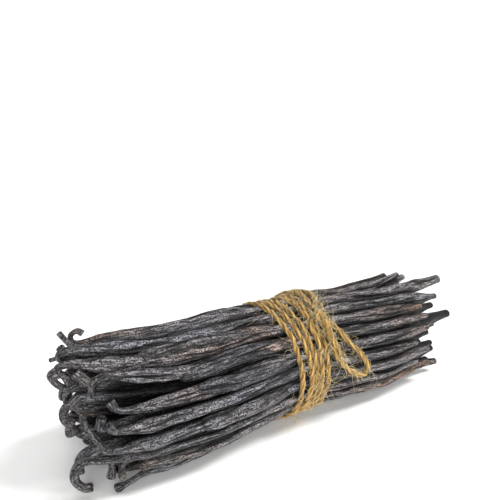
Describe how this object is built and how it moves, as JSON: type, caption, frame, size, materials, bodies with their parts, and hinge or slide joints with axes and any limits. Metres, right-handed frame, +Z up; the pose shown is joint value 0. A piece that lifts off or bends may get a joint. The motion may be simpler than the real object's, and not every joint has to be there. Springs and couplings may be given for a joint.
{
  "type": "tied bundle of vanilla pods",
  "caption": "Bundle of long wrinkled dark vanilla pods with curled stalks, tied round the waist with jute twine in a bow: a knot, a short cut end and two loops, one of them hanging down the near side.",
  "frame": {"origin": "middle of the footprint of the pods and the wound twine, on the plane that the lowest pods rest on", "axes": "+X along the pods from the curled stalks to the blossom tips, +Z up, -Y towards the side with the knot and the bow loop"},
  "size_m": [0.1718, 0.0546, 0.051],
  "materials": {
    "pods": "wrinkled, slightly oily, dark grey-brown",
    "twine": "twisted golden jute, hairy"
  },
  "bodies": {
    "root": {"pods": "pods", "twine": "twine", "twine_loop": "twine"}
  },
  "joints": []
}
